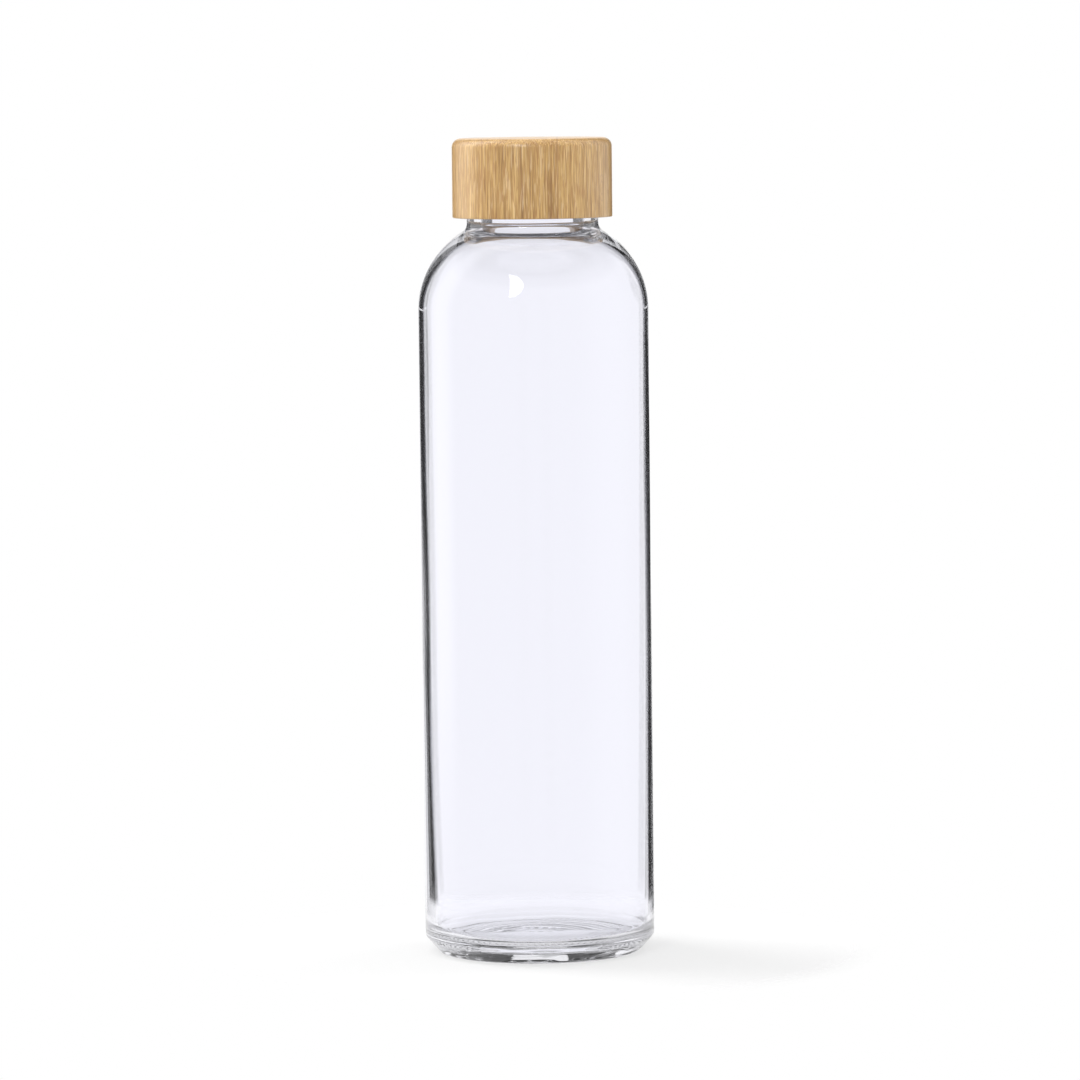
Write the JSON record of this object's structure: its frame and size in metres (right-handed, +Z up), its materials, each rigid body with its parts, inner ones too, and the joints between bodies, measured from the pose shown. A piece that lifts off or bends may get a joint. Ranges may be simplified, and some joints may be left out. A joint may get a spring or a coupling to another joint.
{
  "type": "glass water bottle",
  "caption": "Straight-sided clear glass water bottle with a round shoulder, threaded neck and a plain bamboo screw cap with a plastic insert and silicone seal.",
  "frame": {"origin": "centre of the standing ring, on the surface that the bottle stands on", "axes": "+Z up along the bottle's axis, towards the cap. The bottle is round, so +X is any direction"},
  "size_m": [0.065, 0.065, 0.23],
  "materials": {
    "clear_glass": "polished clear glass",
    "silicone": "satin translucent silicone",
    "polypropylene": "satin natural polypropylene",
    "bamboo": "satin lacquered bamboo, grain upright"
  },
  "bodies": {
    "bottle": {"glass_bottle": "clear_glass"},
    "seal": {"seal_ring": "silicone"},
    "cap": {"threaded_insert": "polypropylene", "bamboo_cap": "bamboo"}
  },
  "joints": [
    {"name": "cap_rise", "type": "slide", "parent": "bottle", "child": "seal", "axis": [0, 0, 1], "range_m": [0, 0.018]},
    {"name": "cap_turn", "type": "hinge", "parent": "seal", "child": "cap", "pos_m": [0, 0, 0.2], "axis": [0, 0, 1], "range_deg": [0, 1080]}
  ],
  "couplings": [
    {"joint": "cap_rise", "follows": "cap_turn", "m_per_rad": 0.00095492}
  ]
}
